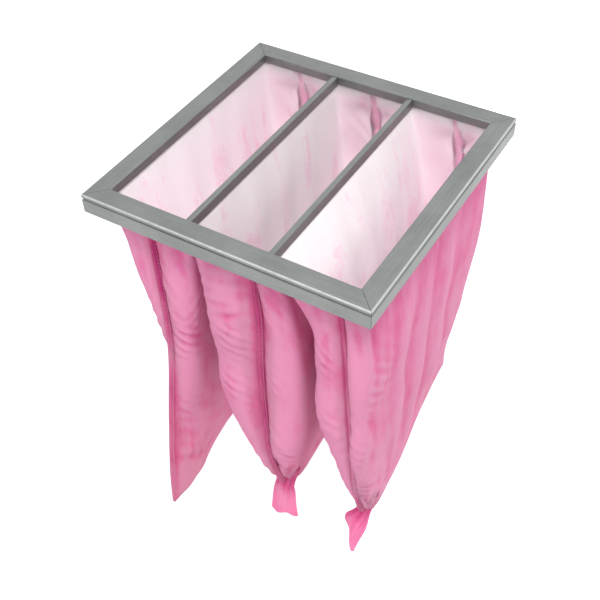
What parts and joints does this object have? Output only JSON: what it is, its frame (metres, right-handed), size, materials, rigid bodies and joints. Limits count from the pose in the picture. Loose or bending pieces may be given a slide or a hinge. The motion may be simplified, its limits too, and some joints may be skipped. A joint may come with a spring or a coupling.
{
  "type": "bag air filter",
  "caption": "Bag air filter: a square roll-formed metal header with sewn cloth pockets hanging from it, their open mouths divided by crimped bars.",
  "frame": {"origin": "middle of the header's face plane, where the air enters", "axes": "+Z out of the face, against the air flow, the pockets hang along -Z; X across the pockets; Y along their mouths, -Y towards the viewer of the picture"},
  "size_m": [0.287, 0.3464, 0.3953],
  "materials": {
    "galvanised_header": "dull galvanised sheet with faint rolling lines and a light spangle",
    "zinc_strip": "plain zinc-coated strip, slightly darker than the header",
    "filter_cloth": "soft non-woven cloth, pink outside and pinkish white inside, lit through where it is thin"
  },
  "bodies": {
    "root": {"rail_front": "galvanised_header", "rail_right": "galvanised_header", "rail_back": "galvanised_header", "rail_left": "galvanised_header", "clamp_strip_front": "zinc_strip", "clamp_strip_right": "zinc_strip", "clamp_strip_back": "zinc_strip", "clamp_strip_left": "zinc_strip", "corner_key_front_left": "zinc_strip", "corner_key_front_right": "zinc_strip", "corner_key_back_right": "zinc_strip", "corner_key_back_left": "zinc_strip", "pocket_bar_1": "galvanised_header", "pocket_bar_2": "galvanised_header", "pocket_left": "filter_cloth", "pocket_middle": "filter_cloth", "pocket_right": "filter_cloth"}
  },
  "joints": []
}
